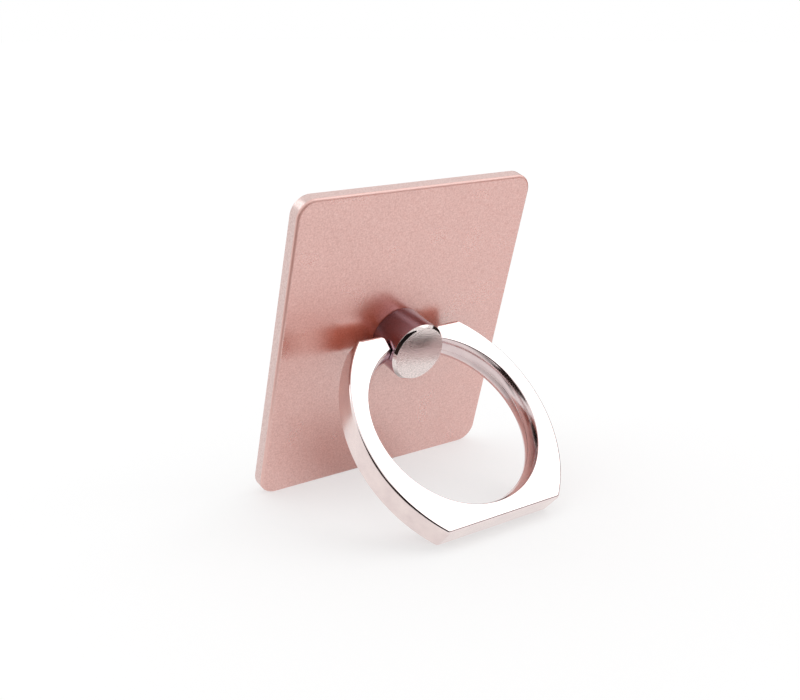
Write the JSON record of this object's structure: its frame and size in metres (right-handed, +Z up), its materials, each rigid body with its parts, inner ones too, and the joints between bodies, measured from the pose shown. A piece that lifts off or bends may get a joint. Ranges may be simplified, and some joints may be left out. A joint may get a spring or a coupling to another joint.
{
  "type": "phone ring holder",
  "caption": "Flat rectangular plate with an adhesive back, a swivelling post and a folding finger ring that doubles as a stand for a phone.",
  "frame": {"origin": "on the floor, under the middle of the object's box as it stands on the plate's lower edge and the ring's foot", "axes": "+X across the plate, -Y to the side of the ring, +Y to the side of the adhesive, +Z up"},
  "size_m": [0.0344, 0.0288, 0.0389],
  "materials": {
    "plate_finish": "matte rose gold metallic",
    "adhesive": "soft tacky sheet",
    "post_metal": "polished side and rim, satin end face",
    "steel": "plain bright steel",
    "ring_chrome": "mirror polished plating"
  },
  "bodies": {
    "base": {"face_plate": "plate_finish", "adhesive_pad": "adhesive"},
    "swivel": {"swivel_post": "post_metal", "spring_washer": "steel", "rivet_washer": "steel", "hinge_pin": "steel"},
    "ring": {"finger_ring": "ring_chrome"}
  },
  "joints": [
    {"name": "post_swivel", "type": "hinge", "parent": "base", "child": "swivel", "pos_m": [0, 0.00663, 0.01917], "axis": [0, -0.9614, -0.275], "continuous": true},
    {"name": "ring_hinge", "type": "hinge", "parent": "swivel", "child": "ring", "pos_m": [0, 0.00452, 0.01856], "axis": [1, 0, 0], "range_deg": [-118.4, 61.6]}
  ]
}
